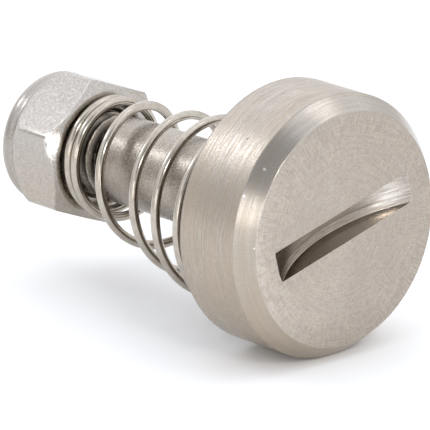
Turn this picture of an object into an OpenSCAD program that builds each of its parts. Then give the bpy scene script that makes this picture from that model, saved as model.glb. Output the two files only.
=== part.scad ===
// Pressure relief valve: a slotted round valve head on a plain stem, closed by a
// conical spring that an adjustable self-locking nut holds on the stem's thread.
// Millimetres. The stem's axis is X. The origin is on that axis, in the plane of
// the head's annular seat face. The head is toward +X, the nut toward -X, +Z up.

/* [Valve head] */
// Diameter of the valve head
head_d = 25; // [24.6:0.1:26]
// Height of the head's cylindrical rim, from the seat face to the front bevel
rim_height = 7.2; // [6.8:0.1:8]
// Height of the front bevel along the axis
bevel_height = 1.7; // [1:0.1:2.2]
// Width of the front bevel, measured radially
bevel_width = 1.35; // [0.8:0.05:1.8]
// Edge break at the back edge of the rim
edge_break = 0.3; // [0.1:0.05:0.4]
// Depth of the shallow recess that the spring's large end sits in
recess_depth = 0.6; // [0.6:0.05:0.8]
// Outside radius of that recess
recess_r = 10.6; // [10.5:0.1:10.9]

/* [Screwdriver slot] */
// Width of the slot
slot_width = 3.1; // [2:0.1:3.4]
// Depth of the slot at the middle of the head
slot_depth = 2.95; // [2:0.05:3.4]
// Radius of the disc cutter that leaves the slot's curved floor
cutter_r = 14; // [12.5:0.1:15]
// Angle of the slot from +Y toward +Z
slot_angle = 14.5; // [-90:0.5:90]
// How far the slot's middle line sits off the head's centre, across the slot
slot_offset = 0.3; // [0:0.05:0.5]
// Width of the shallow slope beside the slot's lower wall
slope_width = 0.8; // [0.2:0.1:1.2]
// How much that slope rises at the wall
slope_rise = 0.1; // [0.05:0.01:0.3]

/* [Stem] */
// Diameter of the plain guide part of the stem
stem_d = 8.4; // [8.3:0.05:8.6]
// Distance from the seat face to the stem's shoulder
shoulder_at = 21; // [20.8:0.1:21.3]
// Major diameter of the stem's thread
thread_d = 8; // [7.96:0.01:8]
// Pitch of the thread
thread_pitch = 1.25; // [1.25:0.01:1.25]
// Length of stem that stands out past the nut
stem_proud = 0.8; // [0.4:0.1:1.5]
// Depth of the spigot that holds the stem in the head
spigot = 3; // [2:0.5:4]

/* [Lock nut] */
// Distance from the seat face to the nut's bearing face
nut_at = 24.1; // [24.1:0.1:24.7]
// Width of the nut across its flats
nut_af = 13; // [12.8:0.1:13]
// Whole height of the nut
nut_height = 8.4; // [8.2:0.1:8.5]
// Height above the bearing face where the corners start to round over
hex_height = 4; // [3:0.1:4.2]
// Angle of a hexagon corner from +Y toward +Z
nut_turn_angle = 38.5; // [0:0.1:60]
// Radius of the collar round the locking ring
collar_r = 6.5; // [6.4:0.05:6.55]

/* [Spring] */
// Diameter of the spring wire
wire_d = 0.9; // [0.8:0.02:0.9]
// Wire rings modelled in each turn
rings_per_turn = 24; // [16:2:30]

/* [Hidden] */
$fn = 96;

head_r = head_d / 2;
head_top = rim_height + bevel_height;
face_r = head_r - bevel_width;
stem_r = stem_d / 2;
thread_r = thread_d / 2;
root_r = thread_r - 0.62 * thread_pitch;   // depth of an ISO external thread
stem_end = nut_at + nut_height + stem_proud;
relief = 1.0;                              // thread run-out groove at the shoulder
bore_r = thread_r + 0.05;                  // running clearance, the thread's stand-in

// Turns a profile drawn as [distance along +X, radius] round the X axis.
module turned(profile) {
    rotate([0, 90, 0]) rotate_extrude() polygon([for (p = profile) [p[1], p[0]]]);
}

// A plain rod on the X axis, from x = a to x = b.
module rod(a, b, r) { translate([a, 0, 0]) rotate([0, 90, 0]) cylinder(h = b - a, r = r); }

// ---- valve head -------------------------------------------------------------

// Disc cutter worn on one side, whose lowest point is at the slot's floor.
module slot_cutter() {
    w = slot_width / 2;
    rotate([slot_angle, 0, 0])
        translate([head_top - slot_depth + cutter_r, 0, slot_offset])
            rotate_extrude()
                polygon([[0, -w], [cutter_r - slope_rise, -w],
                         [cutter_r, -w + slope_width], [cutter_r, w - 0.05],
                         [cutter_r - 0.05, w], [0, w]]);
}

module valve_head() {
    e = 0.12;                              // small break on the front edges
    color("silver")
    difference() {
        turned([
            [recess_depth, 0], [recess_depth, recess_r - 0.3], [0, recess_r],
            [0, head_r - edge_break], [edge_break * 0.35, head_r - edge_break * 0.35],
            [edge_break, head_r],
            [rim_height - e, head_r], [rim_height + e * 0.7, head_r - e * 0.55],
            [head_top - e * 0.8, face_r + e * 0.65], [head_top, face_r - e],
            [head_top, 0]]);
        rod(-1, spigot, stem_r);
        slot_cutter();
    }
}

// ---- stem -------------------------------------------------------------------

module valve_stem() {
    c = 0.25;
    color("gray")
    turned([
        [-stem_end, 0], [-stem_end, root_r - 0.1], [-stem_end + 0.8, thread_r],
        [-shoulder_at - relief - 0.4, thread_r], [-shoulder_at - relief, root_r],
        [-shoulder_at, root_r], [-shoulder_at, stem_r - c], [-shoulder_at + c, stem_r],
        [spigot, stem_r], [spigot, 0]]);
}

// ---- lock nut ---------------------------------------------------------------

// Nut profile: distance from the bearing face toward -X, then radius.
function nut_x(h) = -nut_at - h;

module nut_blank() {
    corner = nut_af / sqrt(3);
    bear_r = 6.15;                         // outside radius of the bearing face
    k = tan(30);
    intersection() {
        translate([nut_x(nut_height), 0, 0])
            rotate([nut_turn_angle, 0, 0])
                rotate([0, 90, 0])
                    rotate([0, 0, 90])
                        cylinder(h = nut_height, r = corner, $fn = 6);
        turned([
            [nut_x(0), 0], [nut_x(0), bear_r], [nut_x(k * (corner + 0.3 - bear_r)), corner + 0.3],
            [nut_x(hex_height), corner + 0.3],
            [nut_x(nut_height - 3.9), collar_r + 0.98],
            [nut_x(nut_height - 3.4), collar_r + 0.80],
            [nut_x(nut_height - 2.95), collar_r + 0.57],
            [nut_x(nut_height - 2.65), collar_r + 0.32],
            [nut_x(nut_height - 2.4), collar_r + 0.02],
            [nut_x(nut_height - 2.15), collar_r - 0.13],
            [nut_x(nut_height - 1.9), collar_r - 0.13],
            [nut_x(nut_height - 1.6), collar_r - 0.03],
            [nut_x(nut_height - 1.3), collar_r],
            [nut_x(nut_height - 0.95), collar_r - 0.07],
            [nut_x(nut_height - 0.6), collar_r - 0.28],
            [nut_x(nut_height - 0.3), collar_r - 0.6],
            [nut_x(nut_height - 0.08), collar_r - 1.02],
            [nut_x(nut_height), collar_r - 1.45],
            [nut_x(nut_height), 0]]);
    }
}

// The locking ring's groove, from h = ring_lo to h = ring_hi.
ring_lo = 6.0;
ring_hi = 7.6;
ring_r = 5.25;

module lock_nut() {
    color("lightgray")
    difference() {
        nut_blank();
        rod(nut_x(nut_height + 1), nut_x(-1), bore_r);
        rod(nut_x(ring_hi), nut_x(ring_lo), ring_r);
        rod(nut_x(nut_height + 1), nut_x(ring_hi - 0.1), 4.75);
        // countersink of the thread at the bearing face
        turned([[nut_x(0.6), bore_r - 0.1], [nut_x(0), 4.45], [nut_x(-0.5), 4.75],
                [nut_x(-0.5), 0], [nut_x(0.6), 0]]);
    }
}

module locking_ring() {
    color("aliceblue")
    turned([
        [nut_x(ring_hi - 0.02), bore_r - 0.02 + 0.25], [nut_x(ring_hi - 0.25), bore_r - 0.02],
        [nut_x(ring_lo + 0.02), bore_r - 0.02], [nut_x(ring_lo + 0.02), ring_r - 0.02],
        [nut_x(ring_hi - 0.02), ring_r - 0.02]]);
}

// ---- spring -----------------------------------------------------------------

// Each row: distance of the wire's middle from the seat face, its slope per turn,
// the coil's mean radius, and how far the coil hangs below the axis. Row n is
// turn n; at whole turns the wire is on the -Y side.
COILS = [
    [24.25, -0.95, 5.35, 0],
    [23.30, -0.95, 5.40, 0],
    [22.30, -1.20, 5.45, 0.05],
    [17.80, -5.60, 6.33, 0.6],
    [12.10, -4.80, 7.20, 1.15],
    [8.05, -3.90, 8.10, 1.4],
    [4.15, -3.40, 8.90, 1.6],
    [0.85, -1.10, 9.25, 0.75],
    [-0.10, -0.90, 9.20, 0.2]];
first_turn = 0.7;
last_turn = 8;

// Cubic between rows, with the slopes given for the distance and worked out from
// the neighbouring rows for the rest.
function row(i) = COILS[min(max(i, 0), len(COILS) - 1)];
function herm(a, ma, b, mb, s) =
    a * (1 + 2 * s) * (1 - s) * (1 - s) + ma * s * (1 - s) * (1 - s)
    + b * s * s * (3 - 2 * s) - mb * s * s * (1 - s);
function slope(i, k) = k == 0 ? row(i)[1] : (row(i + 1)[k] - row(i - 1)[k]) / 2;
function coil(t, k) = let (i = min(floor(t), len(COILS) - 2), s = t - i)
    herm(row(i)[k], slope(i, k), row(i + 1)[k], slope(i + 1, k), s);
function wire_at(t) = let (a = 180 + 360 * t, r = coil(t, 2))
    [-coil(t, 0), r * cos(a), r * sin(a) - coil(t, 3)];

function unit(v) = v / norm(v);
module spring() {
    n = round((last_turn - first_turn) * rings_per_turn);
    m = 8;
    pts = [for (j = [0:n])
        let (t = first_turn + (last_turn - first_turn) * j / n,
             p = wire_at(t),
             f = unit(wire_at(min(t + 0.01, 8)) - wire_at(t - 0.01)),
             o = unit(cross(f, [1, 0, 0])),
             q = cross(o, f))
        for (i = [0:m - 1]) p + wire_d / 2 * (cos(360 * i / m) * o + sin(360 * i / m) * q)];
    color("gainsboro")
    polyhedron(points = pts, faces = concat(
        [[for (i = [0:m - 1]) i]],
        [[for (i = [0:m - 1]) n * m + m - 1 - i]],
        [for (j = [0:n - 1]) for (i = [0:m - 1]) each
            let (a = j * m + i, b = j * m + (i + 1) % m)
            [[a, a + m, b], [b, a + m, b + m]]]));
}

valve_head();
valve_stem();
spring();
lock_nut();
locking_ring();
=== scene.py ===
import math
import bpy
import bmesh
from mathutils import Matrix, Vector


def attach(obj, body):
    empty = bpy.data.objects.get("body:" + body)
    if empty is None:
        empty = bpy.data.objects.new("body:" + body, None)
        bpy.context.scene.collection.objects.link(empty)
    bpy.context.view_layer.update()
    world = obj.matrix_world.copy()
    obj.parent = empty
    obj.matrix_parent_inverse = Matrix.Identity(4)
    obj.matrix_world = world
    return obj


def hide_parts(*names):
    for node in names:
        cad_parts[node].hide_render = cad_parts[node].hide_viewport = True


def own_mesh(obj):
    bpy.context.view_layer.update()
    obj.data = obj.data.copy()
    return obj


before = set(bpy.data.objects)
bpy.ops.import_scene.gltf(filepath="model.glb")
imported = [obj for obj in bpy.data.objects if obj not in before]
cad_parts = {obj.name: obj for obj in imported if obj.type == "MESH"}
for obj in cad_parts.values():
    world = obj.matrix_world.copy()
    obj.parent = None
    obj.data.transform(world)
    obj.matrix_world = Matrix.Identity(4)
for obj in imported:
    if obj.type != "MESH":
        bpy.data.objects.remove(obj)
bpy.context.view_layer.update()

MM = 0.001
scene = bpy.context.scene

# ---------------------------------------------------------------- dimensions
# Millimetres, the same numbers as the CAD model.
HEAD_R, RIM_H, HEAD_TOP = 12.5, 7.2, 8.9
FACE_R = HEAD_R - 1.35
EDGE_BREAK = 0.3
RECESS_D, RECESS_R = 0.6, 10.6
SLOT_W, SLOT_DEPTH, CUTTER_R, SLOT_ANGLE, SLOT_OFFSET = 3.1, 2.95, 14.0, 14.5, 0.3
SLOPE_W, SLOPE_RISE = 0.8, 0.10
STEM_R, SHOULDER, SPIGOT = 4.2, 21.0, 3.0
THREAD_R, PITCH = 4.0, 1.25
NUT_AT, NUT_AF, NUT_H, HEX_H, NUT_ANGLE, COLLAR_R = 24.1, 13.0, 8.4, 4.0, 38.5, 6.5
STEM_END = NUT_AT + NUT_H + 0.8
WIRE_R = 0.45
COILS = [(24.25, -0.95, 5.35, 0.0), (23.30, -0.95, 5.40, 0.0), (22.30, -1.20, 5.45, 0.05),
         (17.80, -5.60, 6.33, 0.6), (12.10, -4.80, 7.20, 1.15), (8.05, -3.90, 8.10, 1.4),
         (4.15, -3.40, 8.90, 1.6), (0.85, -1.10, 9.25, 0.75), (-0.10, -0.90, 9.20, 0.2)]
FIRST_TURN, LAST_TURN = 0.7, 8.0


# ---------------------------------------------------------------- mesh helpers
def new_object(name, verts, faces, smooth_angle=35.0, mats=(), face_mat=None):
    me = bpy.data.meshes.new(name)
    me.from_pydata([tuple(c * MM for c in v) for v in verts], [], faces)
    for m in mats:
        me.materials.append(m)
    if face_mat is not None:
        me.polygons.foreach_set("material_index", face_mat)
    ob = bpy.data.objects.new(name, me)
    scene.collection.objects.link(ob)
    bm = bmesh.new()
    bm.from_mesh(me)
    bmesh.ops.remove_doubles(bm, verts=bm.verts, dist=1e-8)
    bmesh.ops.recalc_face_normals(bm, faces=bm.faces)
    bm.to_mesh(me)
    bm.free()
    shade(ob, smooth_angle)
    return ob


def shade(ob, angle=35.0):
    me = ob.data
    bm = bmesh.new()
    bm.from_mesh(me)
    lim = math.radians(angle)
    for f in bm.faces:
        f.smooth = True
    for e in bm.edges:
        e.smooth = not (len(e.link_faces) != 2 or e.calc_face_angle(0.0) > lim)
    bm.to_mesh(me)
    bm.free()


def arc(corner, before, after, r, n=4):
    """Rounds the corner of a 2-D profile with radius r."""
    c, a, b = Vector(corner), Vector(before), Vector(after)
    u, v = (a - c).normalized(), (b - c).normalized()
    half = u.angle(v) / 2
    t = r / math.tan(half)
    mid = (u + v).normalized()
    centre = c + mid * (r / math.sin(half))
    p0, p1 = c + u * t, c + v * t
    a0 = math.atan2(*(p0 - centre).yx)
    a1 = math.atan2(*(p1 - centre).yx)
    d = (a1 - a0 + math.pi) % (2 * math.pi) - math.pi
    return [(centre.x + r * math.cos(a0 + d * i / n), centre.y + r * math.sin(a0 + d * i / n))
            for i in range(n + 1)]


def lathe(name, profile, segs=256, mats=(), part=None, smooth_angle=35.0):
    """Closed solid of revolution about X. profile: (x, r) points from axis to axis, part: material of each stretch."""
    verts, faces, fm = [], [], []
    rings = []
    for (x, r) in profile:
        if r < 1e-6:
            rings.append([len(verts)])
            verts.append((x, 0, 0))
        else:
            rings.append(list(range(len(verts), len(verts) + segs)))
            for i in range(segs):
                a = 2 * math.pi * i / segs
                verts.append((x, r * math.cos(a), r * math.sin(a)))
    for k in range(len(rings) - 1):
        A, B = rings[k], rings[k + 1]
        m = part[k] if part else 0
        for i in range(segs):
            j = (i + 1) % segs
            if len(A) == 1 and len(B) == 1:
                continue
            if len(A) == 1:
                faces.append((A[0], B[i], B[j]))
            elif len(B) == 1:
                faces.append((A[i], A[j], B[0]))
            else:
                faces.append((A[i], A[j], B[j], B[i]))
            fm.append(m)
    return new_object(name, verts, faces, smooth_angle, mats, fm)


def boolean(ob, cutter, operation="DIFFERENCE"):
    md = ob.modifiers.new("cut", "BOOLEAN")
    md.operation = operation
    md.solver = "EXACT"
    md.object = cutter
    try:
        md.material_mode = "TRANSFER"
    except Exception:
        pass
    dg = bpy.context.evaluated_depsgraph_get()
    me = bpy.data.meshes.new_from_object(ob.evaluated_get(dg))
    ob.modifiers.clear()
    old = ob.data
    ob.data = me
    bpy.data.meshes.remove(old)
    bpy.data.objects.remove(cutter)


# ---------------------------------------------------------------- node helpers
class Nodes:
    def __init__(self, name):
        self.mat = bpy.data.materials.new(name)
        self.mat.use_nodes = True
        self.t = self.mat.node_tree
        self.t.nodes.clear()
        self.out = self.t.nodes.new("ShaderNodeOutputMaterial")
        self.bsdf = self.t.nodes.new("ShaderNodeBsdfPrincipled")
        self.link(self.bsdf.outputs[0], self.out.inputs[0])
        tc = self.t.nodes.new("ShaderNodeTexCoord")
        sc = self.t.nodes.new("ShaderNodeVectorMath")
        sc.operation = "SCALE"
        sc.inputs["Scale"].default_value = 1000.0      # object coordinates in millimetres
        self.link(tc.outputs["Object"], sc.inputs[0])
        self.pos = sc.outputs[0]
        sep = self.t.nodes.new("ShaderNodeSeparateXYZ")
        self.link(self.pos, sep.inputs[0])
        self.x, self.y, self.z = sep.outputs
        yy = self.math("MULTIPLY", self.y, self.y)
        zz = self.math("MULTIPLY", self.z, self.z)
        self.r = self.math("SQRT", self.math("ADD", yy, zz))
        rs = self.math("MAXIMUM", self.r, 0.05)
        self.cy = self.math("DIVIDE", self.y, rs)
        self.cz = self.math("DIVIDE", self.z, rs)

    def link(self, a, b):
        self.t.links.new(a, b)

    def math(self, op, a, b=None, c=None, clamp=False):
        n = self.t.nodes.new("ShaderNodeMath")
        n.operation = op
        n.use_clamp = clamp
        for i, v in enumerate((a, b, c)):
            if v is None:
                continue
            if isinstance(v, (int, float)):
                n.inputs[i].default_value = v
            else:
                self.link(v, n.inputs[i])
        return n.outputs[0]

    def vec(self, x, y, z):
        n = self.t.nodes.new("ShaderNodeCombineXYZ")
        for i, v in enumerate((x, y, z)):
            if isinstance(v, (int, float)):
                n.inputs[i].default_value = v
            else:
                self.link(v, n.inputs[i])
        return n.outputs[0]

    def noise(self, vec, scale=1.0, detail=3.0, rough=0.55):
        n = self.t.nodes.new("ShaderNodeTexNoise")
        n.inputs["Scale"].default_value = scale
        n.inputs["Detail"].default_value = detail
        n.inputs["Roughness"].default_value = rough
        self.link(vec, n.inputs["Vector"])
        return n.outputs[0]

    def remap(self, v, a, b, c, d):
        n = self.t.nodes.new("ShaderNodeMapRange")
        n.clamp = True
        self.link(v, n.inputs[0])
        for i, k in enumerate((a, b, c, d)):
            n.inputs[i + 1].default_value = k
        return n.outputs[0]

    def mix(self, f, a, b):
        n = self.t.nodes.new("ShaderNodeMix")
        n.data_type = "RGBA"
        for s, v in ((n.inputs[0], f), (n.inputs[6], a), (n.inputs[7], b)):
            if isinstance(v, (int, float)):
                s.default_value = v
            elif isinstance(v, tuple):
                s.default_value = (*v, 1.0)
            else:
                self.link(v, s)
        return n.outputs[2]

    def bump(self, height, strength, distance, normal=None):
        n = self.t.nodes.new("ShaderNodeBump")
        if normal is not None:
            self.link(normal, n.inputs["Normal"])
        n.inputs["Strength"].default_value = strength
        n.inputs["Distance"].default_value = distance
        self.link(height, n.inputs["Height"])
        return n.outputs[0]

    def tangent_x(self):
        n = self.t.nodes.new("ShaderNodeTangent")
        n.direction_type = "RADIAL"
        n.axis = "X"
        return n.outputs[0]

    def pits(self, scale, lo, hi):
        """Sparse small marks: 1 inside a mark, 0 elsewhere."""
        n = self.t.nodes.new("ShaderNodeTexVoronoi")
        n.inputs["Scale"].default_value = scale
        self.link(self.pos, n.inputs["Vector"])
        return self.remap(n.outputs["Distance"], lo, hi, 1.0, 0.0)

    def mark(self, x, y, z, size, soft=0.5):
        """One small spot at a point in millimetres, a nick or the nut's painted highlight: 1 inside, 0 outside."""
        n = self.t.nodes.new("ShaderNodeVectorMath")
        n.operation = "DISTANCE"
        self.link(self.pos, n.inputs[0])
        n.inputs[1].default_value = (x, y, z)
        wob = self.noise(self.pos, 4.0, 2.0, 0.5)
        d = self.math("ADD", n.outputs["Value"], self.math("MULTIPLY", self.math("SUBTRACT", wob, 0.5), size))
        return self.remap(d, size * (1 - soft), size, 1.0, 0.0)

    def rounded(self, radius):
        """Normals with every sharp edge rounded by radius (mm), and a mask that is 1 along those edges."""
        n = self.t.nodes.new("ShaderNodeBevel")
        n.samples = 6
        if isinstance(radius, float):
            n.inputs["Radius"].default_value = radius * 0.001
        else:
            self.link(radius, n.inputs["Radius"])
        g = self.t.nodes.new("ShaderNodeNewGeometry")
        d = self.t.nodes.new("ShaderNodeVectorMath")
        d.operation = "DOT_PRODUCT"
        self.link(n.outputs[0], d.inputs[0])
        self.link(g.outputs["Normal"], d.inputs[1])
        return n.outputs[0], self.remap(d.outputs["Value"], 0.90, 0.995, 1.0, 0.0)


def turned_metal(name, color, dark, rough, along, lines=5.0, fine=9.0, wrap=0.8, bump=0.3, aniso=0.6,
                 rough_var=0.08, blotch=0.3, grain=0.25, chatter=0.0, contrast=0.08, edge=0.12, marks=(), warm_reflection_and_streaks=0.0):
    """Turned or brushed stainless. along: 'x' for a cylinder's lines round the axis, 'r' for rings on a face.
    chatter: short cross marks left by the tool. marks: (x, y, z, size, brightness) of single nicks."""
    m = Nodes(name)
    s = m.x if along == "x" else m.r

    def streaks(across, round_, detail):
        return m.noise(m.vec(m.math("MULTIPLY", s, across), m.math("MULTIPLY", m.cy, round_),
                             m.math("MULTIPLY", m.cz, round_)), 1.0, detail, 0.65)

    n1 = streaks(lines, wrap, 4.0)
    n2 = streaks(fine, wrap * 5, 3.0)
    n3 = m.noise(m.pos, 6.0, 3.0, 0.75)
    h = m.math("ADD", m.math("MULTIPLY", n1, 0.60), m.math("MULTIPLY", n2, 0.40))
    h = m.math("ADD", m.math("MULTIPLY", h, 1.0 - grain), m.math("MULTIPLY", n3, grain))
    if chatter:
        n4 = streaks(0.9, 66.0, 1.0)
        patch = m.remap(m.noise(m.pos, 0.22, 2.0, 0.5), 0.35, 0.6, 0.35, 1.0)
        where = m.math("MULTIPLY", patch, m.remap(m.r, 5.5, 9.5, 0.2, 1.0))
        h = m.math("ADD", h, m.math("MULTIPLY", m.math("MULTIPLY", m.math("SUBTRACT", n4, 0.5), chatter), where))
    big = m.noise(m.pos, 0.35, 3.0, 0.6)
    c = m.mix(m.remap(h, 0.5 - contrast, 0.5 + contrast, 0.0, 1.0), dark, color)
    c = m.mix(m.remap(big, 0.35, 0.7, 0.0, blotch), c, dark)
    # painted reflection: the lower side is tinted warmer and darker; random tan streaks are laid over it as well
    if warm_reflection_and_streaks:
        c = m.mix(m.remap(m.cz, 0.6, -0.5, 0.0, warm_reflection_and_streaks), c, tuple(k * w for k, w in zip(color, (0.96, 0.87, 0.74))))
        tan = m.mix(m.remap(streaks(1.3, 1.2, 3.0), 0.45, 0.65, 0.0, 0.5), c,
                    tuple(k * w for k, w in zip(color, (0.86, 0.79, 0.68))))
        c = tan
    rough_out = m.remap(h, 0.35, 0.65, rough + rough_var, rough - rough_var)
    normal = None
    if edge:
        normal, edge_highlight_mask = m.rounded(edge)
        # painted highlight: the base colour is lightened along the rounded edges
        c = m.mix(m.math("MULTIPLY", edge_highlight_mask, 0.35), c, tuple(min(1.0, k * 1.25) for k in color))
    for (x, y, z, size, bright) in marks:
        k = m.mark(x, y, z, size)
        c = m.mix(m.math("MULTIPLY", k, 0.85), c, (bright, bright * 0.97, bright * 0.93))
    m.link(c, m.bsdf.inputs["Base Color"])
    m.bsdf.inputs["Metallic"].default_value = 1.0
    m.link(rough_out, m.bsdf.inputs["Roughness"])
    m.bsdf.inputs["Anisotropic"].default_value = aniso
    m.link(m.tangent_x(), m.bsdf.inputs["Tangent"])
    m.link(m.bump(h, bump, 0.00004, normal), m.bsdf.inputs["Normal"])
    return m.mat


# ---------------------------------------------------------------- materials
STEEL = (0.50, 0.445, 0.39)
STEEL_D = (0.36, 0.315, 0.27)
mat_rim = turned_metal("head_rim_brushed", (0.49, 0.44, 0.39), (0.325, 0.283, 0.242), 0.30, "x", lines=6.0, fine=9.0,
                       wrap=2.2, bump=0.8, aniso=0.7, warm_reflection_and_streaks=0.45, contrast=0.08, grain=0.30, rough_var=0.12,
                       marks=[(4.6, -8.2, 9.43, 0.16, 0.12)])
mat_face = turned_metal("head_face_turned", (0.495, 0.438, 0.380), (0.360, 0.314, 0.270), 0.40, "r", lines=7.0,
                        fine=9.0, wrap=4.0, bump=0.45, aniso=0.5, grain=0.45, chatter=0.40, contrast=0.10)
mat_bevel = turned_metal("head_bevel_turned", (0.49, 0.45, 0.405), (0.39, 0.355, 0.315), 0.20, "r", lines=6.0,
                         fine=12.0, bump=0.3, aniso=0.5, chatter=0.2, warm_reflection_and_streaks=0.55,
                         marks=[(7.96, -9.24, 7.48, 0.20, 0.95), (7.37, -11.21, 5.23, 0.15, 0.95),
                                (8.75, -11.21, 0.60, 0.12, 0.85)])
# painted shade: the head's back face is a darker copy of the turned steel
mat_back = turned_metal("head_back_turned", (0.36, 0.32, 0.28), (0.28, 0.245, 0.21), 0.38, "r", lines=5.0, bump=0.3)


def slot_material():
    """Milled by a disc cutter: fine marks that follow the cutter round its own axis."""
    m = Nodes("head_slot_milled")
    c, s = math.cos(math.radians(SLOT_ANGLE)), math.sin(math.radians(SLOT_ANGLE))
    along = m.math("ADD", m.math("MULTIPLY", m.y, c), m.math("MULTIPLY", m.z, s))
    across = m.math("SUBTRACT", m.math("MULTIPLY", m.z, c), m.math("MULTIPLY", m.y, s))
    dx = m.math("SUBTRACT", m.x, HEAD_TOP - SLOT_DEPTH + CUTTER_R)
    rc = m.math("SQRT", m.math("ADD", m.math("MULTIPLY", dx, dx), m.math("MULTIPLY", along, along)))
    n1 = m.noise(m.vec(m.math("MULTIPLY", rc, 5.0), m.math("MULTIPLY", along, 0.5), m.math("MULTIPLY", across, 7.0)),
                 1.0, 4.0, 0.65)
    n2 = m.noise(m.pos, 6.0, 3.0, 0.75)
    h = m.math("ADD", m.math("MULTIPLY", n1, 0.7), m.math("MULTIPLY", n2, 0.3))
    col = m.mix(m.remap(h, 0.40, 0.60, 0.0, 1.0), (0.27, 0.238, 0.206), (0.42, 0.377, 0.332))
    # painted light: the wall on the slope's side is painted lighter than the floor
    wall = m.remap(across, SLOT_OFFSET - SLOT_W / 2 + 0.02, SLOT_OFFSET - SLOT_W / 2 + 0.06, 1.0, 0.0)
    col = m.mix(m.math("MULTIPLY", wall, 0.6), col, (0.66, 0.60, 0.53))
    # the step line between the floor and its shallow slope, painted dark as painted shade in the crease
    line = m.math("ABSOLUTE", m.math("SUBTRACT", across, SLOT_OFFSET - SLOT_W / 2 + SLOPE_W))
    line = m.math("MULTIPLY", m.remap(line, 0.02, 0.10, 1.0, 0.0), m.remap(n1, 0.35, 0.55, 0.55, 1.0))
    col = m.mix(m.math("MULTIPLY", line, 0.75), col, (0.16, 0.14, 0.12))
    normal, edge_highlight_mask = m.rounded(0.10)
    # painted highlight: the base colour is lightened along the rounded edges
    col = m.mix(m.math("MULTIPLY", edge_highlight_mask, 0.5), col, (0.66, 0.62, 0.57))
    m.link(col, m.bsdf.inputs["Base Color"])
    m.bsdf.inputs["Metallic"].default_value = 1.0
    m.link(m.remap(h, 0.35, 0.65, 0.26, 0.16), m.bsdf.inputs["Roughness"])
    m.link(m.bump(h, 0.35, 0.00004, normal), m.bsdf.inputs["Normal"])
    return m.mat


mat_slot = slot_material()


def stem_material():
    m = Nodes("stem_satin")
    v1 = m.vec(m.math("MULTIPLY", m.x, 5.0), m.math("MULTIPLY", m.cy, 2.0), m.math("MULTIPLY", m.cz, 2.0))
    n1 = m.noise(v1, 1.0, 4.0, 0.6)
    grain = m.noise(m.pos, 5.5, 4.0, 0.75)
    blot = m.noise(m.pos, 0.9, 3.0, 0.6)
    h = m.math("ADD", m.math("MULTIPLY", n1, 0.3), m.math("MULTIPLY", grain, 0.7))
    c = m.mix(m.remap(h, 0.38, 0.62, 0.0, 1.0), (0.25, 0.215, 0.18), (0.52, 0.47, 0.41))
    c = m.mix(m.remap(blot, 0.4, 0.65, 0.0, 0.5), c, (0.29, 0.25, 0.215))
    # painted shade: darker towards the head
    c = m.mix(m.remap(m.x, -10.2, -7.2, 0.0, 0.5), c, (0.27, 0.235, 0.20))
    # painted shade: the underside is darker towards the nut
    underside_shade = m.math("MULTIPLY", m.remap(m.x, -11.5, -15.5, 0.0, 1.0), m.remap(m.cz, 0.5, -0.2, 0.0, 0.6))
    c = m.mix(underside_shade, c, (0.235, 0.198, 0.165))
    m.link(c, m.bsdf.inputs["Base Color"])
    m.bsdf.inputs["Metallic"].default_value = 1.0
    m.link(m.remap(grain, 0.3, 0.7, 0.21, 0.35), m.bsdf.inputs["Roughness"])
    m.link(m.bump(h, 0.7, 0.00004, m.rounded(0.1)[0]), m.bsdf.inputs["Normal"])
    return m.mat


def thread_material():
    m = Nodes("stem_thread")
    grain = m.noise(m.pos, 6.0, 4.0, 0.7)
    # painted shade: the thread roots are painted near-black, the crests lighter
    crest = m.remap(m.r, 3.35, 3.95, 0.0, 1.0)
    c = m.mix(crest, (0.075, 0.064, 0.053), (0.46, 0.41, 0.35))
    c = m.mix(m.remap(grain, 0.35, 0.7, 0.0, 0.5), c, (0.13, 0.11, 0.09))
    end = m.remap(m.x, -STEM_END + 0.02, -STEM_END + 0.06, 1.0, 0.0)
    c = m.mix(end, c, m.mix(m.remap(grain, 0.35, 0.7, 0.0, 1.0), (0.42, 0.38, 0.335), (0.34, 0.305, 0.265)))
    m.link(c, m.bsdf.inputs["Base Color"])
    m.bsdf.inputs["Metallic"].default_value = 1.0
    m.link(m.remap(grain, 0.3, 0.7, 0.22, 0.42), m.bsdf.inputs["Roughness"])
    m.link(m.bump(grain, 0.4, 0.00003), m.bsdf.inputs["Normal"])
    return m.mat


def wire_material():
    m = Nodes("spring_wire_drawn")
    grain = m.noise(m.pos, 9.0, 3.0, 0.6)
    blot = m.noise(m.pos, 1.1, 3.0, 0.6)
    c = m.mix(m.remap(blot, 0.35, 0.7, 0.0, 1.0), (0.52, 0.475, 0.415), (0.43, 0.385, 0.33))
    c = m.mix(m.remap(grain, 0.45, 0.75, 0.0, 0.4), c, (0.30, 0.265, 0.23))
    m.link(c, m.bsdf.inputs["Base Color"])
    m.bsdf.inputs["Metallic"].default_value = 1.0
    m.link(m.remap(grain, 0.3, 0.7, 0.09, 0.19), m.bsdf.inputs["Roughness"])
    m.link(m.bump(grain, 0.2, 0.00001), m.bsdf.inputs["Normal"])
    return m.mat


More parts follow.
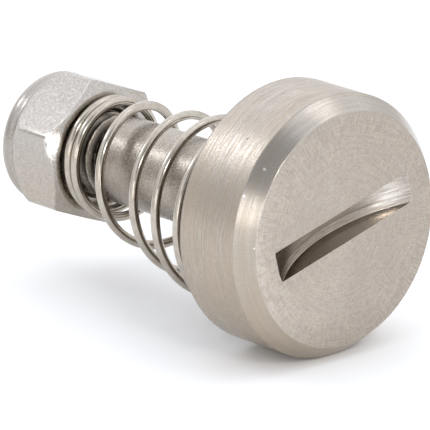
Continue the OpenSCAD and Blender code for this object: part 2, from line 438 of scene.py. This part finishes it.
def nut_material():
    m = Nodes("nut_formed_steel")
    grain = m.noise(m.pos, 4.5, 5.0, 0.7)
    fine = m.noise(m.pos, 16.0, 3.0, 0.7)
    nicks = m.pits(1.3, 0.05, 0.13)
    h = m.math("SUBTRACT", m.math("ADD", m.math("MULTIPLY", grain, 0.7), m.math("MULTIPLY", fine, 0.3)),
               m.math("MULTIPLY", nicks, 0.3))
    c = m.mix(m.remap(grain, 0.38, 0.64, 0.0, 1.0), (0.385, 0.355, 0.325), (0.505, 0.472, 0.435))
    # painted reflection: the lower side is tinted warmer and darker
    c = m.mix(m.remap(m.cz, 0.5, -0.3, 0.0, 0.8), c, m.mix(m.remap(grain, 0.38, 0.64, 0.0, 1.0), (0.375, 0.33, 0.28), (0.495, 0.443, 0.385)))
    # painted shade: the collar end is darker
    c = m.mix(m.remap(m.x, -NUT_AT - 6.0, -NUT_AT - 6.8, 0.0, 0.45), c, (0.30, 0.272, 0.245))
    c = m.mix(m.math("MULTIPLY", nicks, 0.35), c, (0.25, 0.23, 0.21))
    # the formed end is rounded over softly, the bearing chamfer is crisper
    normal, edge_highlight_mask = m.rounded(m.remap(m.x, -NUT_AT - 3.2, -NUT_AT - 1.6, 0.00055, 0.00022))
    # painted highlight: near-white, scratch-broken brightness along the edges of the bearing chamfer
    scratch_highlight_noise = m.noise(m.pos, 2.2, 5.0, 0.75)
    near = m.remap(m.x, -NUT_AT - 2.0, -NUT_AT - 1.2, 0.0, 1.0)
    bright = m.math("MULTIPLY", m.math("MULTIPLY", edge_highlight_mask, near), m.remap(scratch_highlight_noise, 0.36, 0.50, 0.0, 1.0))
    # the painted highlight is kept to the lit upper side facing -Y, and one corner of the chamfer gets a painted
    # highlight spot
    lit_side = m.math("MULTIPLY", m.remap(m.y, -0.3, -2.0, 0.0, 1.0), m.remap(m.z, -1.5, 0.8, 0.0, 1.0))
    bright = m.math("MULTIPLY", bright, lit_side)
    chamfer = m.remap(m.x, -NUT_AT - 1.1, -NUT_AT - 0.6, 0.0, 1.0)
    corner_highlight = m.math("MULTIPLY", m.mark(-NUT_AT - 0.3, -6.65, 2.0, 1.5, 0.35), m.remap(scratch_highlight_noise, 0.40, 0.47, 0.0, 1.0))
    bright = m.math("MAXIMUM", bright, m.math("MULTIPLY", chamfer, corner_highlight))
    c = m.mix(bright, c, (0.86, 0.84, 0.80))
    m.link(c, m.bsdf.inputs["Base Color"])
    m.bsdf.inputs["Metallic"].default_value = 1.0
    r = m.remap(grain, 0.3, 0.7, 0.15, 0.23)
    m.link(m.math("SUBTRACT", r, m.math("MULTIPLY", bright, 0.06)), m.bsdf.inputs["Roughness"])
    m.link(m.bump(h, 0.32, 0.00005, normal), m.bsdf.inputs["Normal"])
    return m.mat


def nylon_material():
    m = Nodes("nylon_ring")
    grain = m.noise(m.pos, 3.0, 4.0, 0.6)
    c = m.mix(m.remap(grain, 0.3, 0.7, 0.0, 1.0), (0.78, 0.80, 0.80), (0.86, 0.87, 0.86))
    m.link(c, m.bsdf.inputs["Base Color"])
    m.link(m.remap(grain, 0.3, 0.7, 0.36, 0.5), m.bsdf.inputs["Roughness"])
    m.bsdf.inputs["Subsurface Weight"].default_value = 0.15
    m.bsdf.inputs["Subsurface Radius"].default_value = (0.001, 0.001, 0.001)
    m.link(m.bump(grain, 0.2, 0.00002), m.bsdf.inputs["Normal"])
    return m.mat


mat_stem, mat_thread, mat_wire, mat_nut, mat_nylon = (
    stem_material(), thread_material(), wire_material(), nut_material(), nylon_material())

# ---------------------------------------------------------------- valve head
P = [(SPIGOT, 0.0), (SPIGOT, STEM_R)]
part = [3]
P += [(RECESS_D, STEM_R)]
part += [3]
for c, b, a, r in (((RECESS_D, RECESS_R - 0.3), (RECESS_D, 5), (0, RECESS_R), 0.1),
                   ((0.0, RECESS_R), (RECESS_D, RECESS_R - 0.3), (0, 12), 0.06),
                   ((0.0, HEAD_R), (0.0, 11), (5, HEAD_R), EDGE_BREAK)):
    pts = arc(c, b, a, r, 6)
    P += pts
    part += [3] * len(pts)
pts = arc((RIM_H, HEAD_R), (1, HEAD_R), (HEAD_TOP, FACE_R), 0.16, 5)
P += pts
part += [0] * len(pts)
pts = arc((HEAD_TOP, FACE_R), (RIM_H, HEAD_R), (HEAD_TOP, 1), 0.10, 5)
P += pts
part += [2] * len(pts)
for r in (8.0, 5.0, 2.0, 0.0):
    P.append((HEAD_TOP, r))
    part.append(1)
head = lathe("valve_head_turned", P, 384, (mat_rim, mat_face, mat_bevel, mat_back, mat_slot), part)

w = SLOT_W / 2
slope_lo, slope_hi = (CUTTER_R - SLOPE_RISE, -w), (CUTTER_R, -w + SLOPE_W)
prof = [(0.0, -w)]
prof += arc(slope_lo, (CUTTER_R - 2, -w), slope_hi, 0.07, 4)
prof += arc(slope_hi, slope_lo, (CUTTER_R, w), 0.4, 4)
prof += arc((CUTTER_R, w), (CUTTER_R, 0), (CUTTER_R - 2, w), 0.1, 4)
prof += [(0.0, w)]
# the disc's own axis is local z: build it about X, then turn it
cut = lathe("slot_cutter", [(z, r) for (r, z) in prof], 360, (mat_slot,))
cut.data.transform(Matrix.Rotation(math.radians(-90), 4, "Y"))   # axis X -> Z
cut.data.transform(Matrix.Translation((MM * (HEAD_TOP - SLOT_DEPTH + CUTTER_R), 0, MM * SLOT_OFFSET)))
cut.data.transform(Matrix.Rotation(math.radians(SLOT_ANGLE), 4, "X"))
boolean(head, cut)
shade(head, 28)
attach(head, "poppet")
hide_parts("valve_head")


# ---------------------------------------------------------------- thread form
def thread_radius(phase, crest, depth):
    """ISO-like 60 degree form: phase 0..1 along one pitch, crest in the middle."""
    d = abs((phase % 1.0) - 0.5) * PITCH         # distance from the crest's middle
    flat = PITCH / 16
    return max(crest - depth, min(crest, crest - (d - flat) * math.sqrt(3)))


def helical(name, xs, envelope, crest, depth, segs, mats, mat_of, caps=True, smooth=40.0):
    verts, faces, fm = [], [], []
    for x in xs:
        for i in range(segs):
            a = 2 * math.pi * i / segs
            r = envelope(x, thread_radius(x / PITCH - i / segs, crest, depth))
            verts.append((x, r * math.cos(a), r * math.sin(a)))
    n = len(xs)
    for k in range(n - 1):
        for i in range(segs):
            j = (i + 1) % segs
            faces.append((k * segs + i, k * segs + j, (k + 1) * segs + j, (k + 1) * segs + i))
            fm.append(mat_of((xs[k] + xs[k + 1]) / 2))
    if caps:
        for k in (0, n - 1):
            faces.append([k * segs + i for i in range(segs)])
            fm.append(mat_of(xs[k]))
    return new_object(name, verts, faces, smooth, mats, fm)


# ---------------------------------------------------------------- stem
def stem_envelope(x, thread):
    L = -x
    if L < SHOULDER - 0.25:
        return STEM_R
    if L < SHOULDER:
        return STEM_R - (L - (SHOULDER - 0.25))
    out = thread
    fade = min(1.0, max(0.0, (L - (SHOULDER + 0.55)) / 0.6))       # the thread runs out into the groove
    root = THREAD_R - 0.775
    out = root + (out - root) * fade
    end = STEM_END - L
    return min(out, THREAD_R - 0.875 + end * (0.875 / 0.8)) if end < 0.8 else out


xs = [-STEM_END + 0.001]
x = -STEM_END
while x < -SHOULDER - 0.12:
    x += PITCH / 20
    xs.append(x)
xs = [v for v in xs if v < -SHOULDER - 0.03]
xs += [-SHOULDER - 0.02, -SHOULDER + 0.001, -SHOULDER + 0.12, -SHOULDER + 0.25, -SHOULDER + 0.3]
xs += [-20.0, -16.0, -12.0, -8.0, -4.0, 0.0, SPIGOT - 0.01]
stem = helical("valve_stem_turned", xs, stem_envelope, THREAD_R, 0.775, 144, (mat_stem, mat_thread),
               lambda x: 1 if x < -SHOULDER else 0)
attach(stem, "poppet")
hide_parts("valve_stem")


# ---------------------------------------------------------------- spring
def row(i):
    return COILS[min(max(i, 0), len(COILS) - 1)]


def slope(i, k):
    return row(i)[1] if k == 0 else (row(i + 1)[k] - row(i - 1)[k]) / 2


def coil(t, k):
    i = min(int(math.floor(t)), len(COILS) - 2)
    s = t - i
    a, ma, b, mb = row(i)[k], slope(i, k), row(i + 1)[k], slope(i + 1, k)
    return (a * (1 + 2 * s) * (1 - s) ** 2 + ma * s * (1 - s) ** 2 + b * s * s * (3 - 2 * s) - mb * s * s * (1 - s))


def wire_at(t):
    a, r = math.radians(180 + 360 * t), coil(t, 2)
    return Vector((-coil(t, 0), r * math.cos(a), r * math.sin(a) - coil(t, 3)))


def sweep(name, t0, t1, n, m, radius, mats):
    verts, faces = [], []
    for j in range(n + 1):
        t = t0 + (t1 - t0) * j / n
        p = wire_at(t)
        f = (wire_at(min(t + 0.01, LAST_TURN)) - wire_at(t - 0.01)).normalized()
        o = f.cross(Vector((1, 0, 0))).normalized()
        q = o.cross(f)
        # the cut ends are very slightly rounded
        edge = min(j, n - j)
        rr = radius * (0.86, 0.97, 1.0)[min(edge, 2)]
        for i in range(m):
            a = 2 * math.pi * i / m
            verts.append(tuple(p + rr * (math.cos(a) * o + math.sin(a) * q)))
    for j in range(n):
        for i in range(m):
            k = (i + 1) % m
            faces.append((j * m + i, (j + 1) * m + i, (j + 1) * m + k, j * m + k))
    faces.append(list(range(m)))
    faces.append([n * m + m - 1 - i for i in range(m)])
    return new_object(name, verts, faces, 50.0, mats)


spring = sweep("spring_wire_round", FIRST_TURN, LAST_TURN, 900, 28, WIRE_R, (mat_wire,))
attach(spring, "spring")
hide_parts("spring")
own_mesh(spring)


# ---------------------------------------------------------------- lock nut
def nx(h):
    return -NUT_AT - h


CORNER = NUT_AF / math.sqrt(3)
BEAR_R = 6.15
K = math.tan(math.radians(30))
big = CORNER + 0.3
profile = [(nx(0), 0.0)]
profile += arc((nx(0), BEAR_R), (nx(0), 1), (nx(K * (big - BEAR_R)), big), 0.12, 4)
profile += [(nx(K * (big - BEAR_R)), big), (nx(HEX_H), big)]
# the rounded collar end, a smooth curve through the CAD model's points: height, radius
dome = [(HEX_H, big), (NUT_H - 3.9, COLLAR_R + 0.98), (NUT_H - 3.4, COLLAR_R + 0.80), (NUT_H - 2.95, COLLAR_R + 0.57),
        (NUT_H - 2.65, COLLAR_R + 0.32), (NUT_H - 2.4, COLLAR_R + 0.02), (NUT_H - 2.15, COLLAR_R - 0.13),
        (NUT_H - 1.9, COLLAR_R - 0.13), (NUT_H - 1.6, COLLAR_R - 0.03), (NUT_H - 1.3, COLLAR_R),
        (NUT_H - 0.95, COLLAR_R - 0.07), (NUT_H - 0.6, COLLAR_R - 0.28), (NUT_H - 0.3, COLLAR_R - 0.6),
        (NUT_H - 0.08, COLLAR_R - 1.02), (NUT_H, COLLAR_R - 1.45)]
for i in range(1, len(dome) - 1):
    p0, p1, p2, p3 = (Vector(dome[max(0, min(len(dome) - 1, j))]) for j in (i - 1, i, i + 1, i + 2))
    for k in range(5):
        u = k / 5
        q = (p1 * (1 + 2 * u) * (1 - u) ** 2 + (p2 - p0) / 2 * u * (1 - u) ** 2
             + p2 * u * u * (3 - 2 * u) - (p3 - p1) / 2 * u * u * (1 - u))
        profile.append((nx(min(q.x, NUT_H)), q.y))
profile += [(nx(NUT_H), COLLAR_R - 1.45), (nx(NUT_H), 0.0)]
nut = lathe("lock_nut_formed", profile, 288, (mat_nut,))
hexv, hexf = [], []
for k, h in enumerate((-0.5, NUT_H + 0.5)):
    for i in range(6):
        a = math.radians(NUT_ANGLE + 60 * i)
        hexv.append((nx(h), CORNER * math.cos(a), CORNER * math.sin(a)))
hexf = [tuple(range(6)), tuple(range(11, 5, -1))] + [(i, (i + 1) % 6, 6 + (i + 1) % 6, 6 + i) for i in range(6)]
hexo = new_object("hex_blank", hexv, hexf, 10, (mat_nut,))
# the hexagon's corner edges are slightly rounded, as on a cold-formed nut
bm = bmesh.new()
bm.from_mesh(hexo.data)
long_edges = [e for e in bm.edges if abs(e.verts[0].co.x - e.verts[1].co.x) > 0.005]
bmesh.ops.bevel(bm, geom=long_edges, offset=0.28 * MM, segments=5, profile=0.5, affect="EDGES")
bm.to_mesh(hexo.data)
bm.free()
boolean(nut, hexo, "INTERSECT")

# bore with the matching thread, the ring's groove and the opening at the collar
seg = 144
bxs = [nx(NUT_H + 0.6), nx(7.6)]
cut_thread = helical("bore_cutter",
                     [nx(6.2) + i * PITCH / 20 for i in range(int((6.2 + 0.8) / (PITCH / 20)) + 1)],
                     lambda x, r: max(r, 4.05 + (x - nx(0.45)) * 0.9) if x > nx(0.45) else r,
                     THREAD_R + 0.04, 0.70, seg, (mat_thread,), lambda x: 0)
boolean(nut, cut_thread)
groove = lathe("ring_groove", [(nx(7.6), 0), (nx(7.6), 5.25), (nx(6.0), 5.25), (nx(6.0), 0)], 160, (mat_nut,))
boolean(nut, groove)
opening = lathe("collar_opening", [(nx(9), 0), (nx(9), 4.95)] + arc((nx(7.8), 4.75), (nx(9), 4.95), (nx(7), 4.75), 0.2, 3)
                + [(nx(7.3), 4.75), (nx(7.3), 0)], 160, (mat_nut,))
boolean(nut, opening)
bm = bmesh.new()
bm.from_mesh(nut.data)
bmesh.ops.remove_doubles(bm, verts=bm.verts, dist=4e-7)
bmesh.ops.dissolve_degenerate(bm, dist=2e-7, edges=bm.edges)
bmesh.ops.holes_fill(bm, edges=[e for e in bm.edges if e.is_boundary], sides=4)
bm.to_mesh(nut.data)
bm.free()
shade(nut, 24)
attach(nut, "nut")
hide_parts("lock_nut")

# ---------------------------------------------------------------- locking ring
rp = [(nx(6.02), 4.05)] + [(nx(6.02), 5.22)]
rp += arc((nx(7.56), 5.22), (nx(6.5), 5.22), (nx(7.56), 4.3), 0.12, 3)
rp += arc((nx(7.56), 4.05), (nx(7.56), 5), (nx(6.5), 4.05), 0.3, 6)
verts, faces = [], []
N = 160
for (xx, rr) in rp:
    for i in range(N):
        a = 2 * math.pi * i / N
        verts.append((xx, rr * math.cos(a), rr * math.sin(a)))
for k in range(len(rp)):
    for i in range(N):
        j, k2 = (i + 1) % N, (k + 1) % len(rp)
        faces.append((k * N + i, k * N + j, k2 * N + j, k2 * N + i))
ring = new_object("locking_ring_nylon", verts, faces, 35, (mat_nylon,))
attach(ring, "nut")
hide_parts("locking_ring")

# ---------------------------------------------------------------- floor
FLOOR_Z = -HEAD_R * MM
bpy.ops.mesh.primitive_plane_add(size=4.0, location=(0, 0, FLOOR_Z))
floor = bpy.context.object
floor.name = "floor"
fm = bpy.data.materials.new("floor_pale")
fm.use_nodes = True
fb = fm.node_tree.nodes["Principled BSDF"]
fb.inputs["Base Color"].default_value = (0.96, 0.96, 0.96, 1)
fb.inputs["Roughness"].default_value = 0.9
fb.inputs["Specular IOR Level"].default_value = 0.1
floor.data.materials.append(fm)

# ---------------------------------------------------------------- light
# A soft studio: a pale dome that is brighter overhead and darker behind the camera, and a few softboxes.
world = bpy.data.worlds.new("studio")
scene.world = world
world.use_nodes = True
wt = world.node_tree
bg = wt.nodes["Background"]


def wnode(kind, **inputs):
    n = wt.nodes.new(kind)
    for k, v in inputs.items():
        sock = n.inputs[int(k[1:])]
        if hasattr(v, "is_output"):
            wt.links.new(v, sock)
        else:
            sock.default_value = v
    return n


def wmath(op, a, b=0.0):
    n = wnode("ShaderNodeMath", i0=a, i1=b)
    n.operation = op
    return n.outputs[0]


wtc = wt.nodes.new("ShaderNodeTexCoord")
wdir = wt.nodes.new("ShaderNodeVectorMath")
wdir.operation = "NORMALIZE"
wt.links.new(wtc.outputs["Generated"], wdir.inputs[0])


def lobe(direction, inner, outer, inside, outside=1.0):
    """inside where the direction is within inner degrees, outside beyond outer degrees."""
    n = wt.nodes.new("ShaderNodeVectorMath")
    n.operation = "DOT_PRODUCT"
    wt.links.new(wdir.outputs[0], n.inputs[0])
    n.inputs[1].default_value = Vector(direction).normalized()
    m = wt.nodes.new("ShaderNodeMapRange")
    m.interpolation_type = "SMOOTHSTEP"
    wt.links.new(n.outputs["Value"], m.inputs[0])
    for i, v in enumerate((math.cos(math.radians(outer)), math.cos(math.radians(inner)), outside, inside)):
        m.inputs[i + 1].default_value = v
    return m.outputs[0]


wsep = wt.nodes.new("ShaderNodeSeparateXYZ")
wt.links.new(wdir.outputs[0], wsep.inputs[0])
wup = wt.nodes.new("ShaderNodeMapRange")
wup.interpolation_type = "SMOOTHSTEP"
wt.links.new(wsep.outputs[2], wup.inputs[0])
for i, v in enumerate((-0.05, 0.55, 0.0, 1.0)):
    wup.inputs[i + 1].default_value = v
wmix = wt.nodes.new("ShaderNodeMix")
wmix.data_type = "RGBA"
wt.links.new(wup.outputs[0], wmix.inputs[0])
wmix.inputs[6].default_value = (1.13, 1.11, 1.08, 1)
wmix.inputs[7].default_value = (1.30, 1.335, 1.40, 1)
wt.links.new(wmix.outputs[2], bg.inputs[0])
strength = wmath("MULTIPLY", lobe((0.51, -0.47, 0.73), 12, 38, 0.42), lobe((-0.70, -0.66, 0.28), 8, 28, 0.70))
strength = wmath("MULTIPLY", strength, lobe((-0.70, 0.40, 0.58), 10, 30, 1.20))
strength = wmath("MULTIPLY", strength, lobe((-0.30, 0.93, 0.08), 12, 30, 0.84))
wt.links.new(strength, bg.inputs[1])


def softbox(name, direction, distance, size, radiance, color=(1, 1, 1), size_y=None, target=(-0.0077, 0, 0)):
    d = bpy.data.lights.new(name, "AREA")
    area = size * (size_y or size)
    d.energy = radiance * math.pi * area
    d.color = color
    d.size = size
    if size_y:
        d.shape = "RECTANGLE"
        d.size_y = size_y
    ob = bpy.data.objects.new(name, d)
    scene.collection.objects.link(ob)
    v = Vector(direction).normalized()
    ob.location = Vector(target) + v * distance
    ob.rotation_euler = (-v).to_track_quat("-Z", "Y").to_euler()
    ob.visible_camera = False
    return ob


softbox("key_top_left", (-0.135, -0.073, 0.131), 0.202, 0.040, 6.0, color=(0.95, 1.0, 1.06))
softbox("front_low", (0.53, -0.81, 0.22), 0.60, 0.22, 1.3, size_y=0.20)
softbox("top_right", (0.24, 0.44, 0.87), 0.60, 0.18, 0.8)
softbox("right", (0.958, -0.27, 0.04), 0.60, 0.18, 5.0, size_y=0.12)
softbox("upper_front", (0.77, -0.30, 0.57), 0.60, 0.10, 13.0)
# a small reflector low in front of the slotted face
softbox("low_card", (0.912, -0.115, -0.39), 0.026, 0.0055, 3.0, color=(0.92, 1.0, 1.09),
        size_y=0.009, target=(0.0068, 0.0045, 0.0015))

# ---------------------------------------------------------------- camera
cam_data = bpy.data.cameras.new("camera")
cam = bpy.data.objects.new("camera", cam_data)
scene.collection.objects.link(cam)
scene.camera = cam
cam_data.sensor_width = 36.0
cam_data.lens = 6000 / 430 * 36.0
right = Vector((0.67678436, 0.73618131, 0.0)).normalized()
down = Vector((0.22060765, -0.20280847, -0.95404454)).normalized()
forward = Vector((-0.70234976, 0.64568243, -0.29966483)).normalized()
rot = Matrix((right, -down, -forward)).transposed()
cam.rotation_mode = "QUATERNION"
cam.rotation_quaternion = rot.to_quaternion()
cam.location = Vector((386.02691798, -362.86773631, 165.77093907)) * MM
cam_data.clip_start, cam_data.clip_end = 0.05, 20.0

scene.view_settings.view_transform = "Standard"
scene.view_settings.look = "None"
scene.view_settings.exposure = 0.0
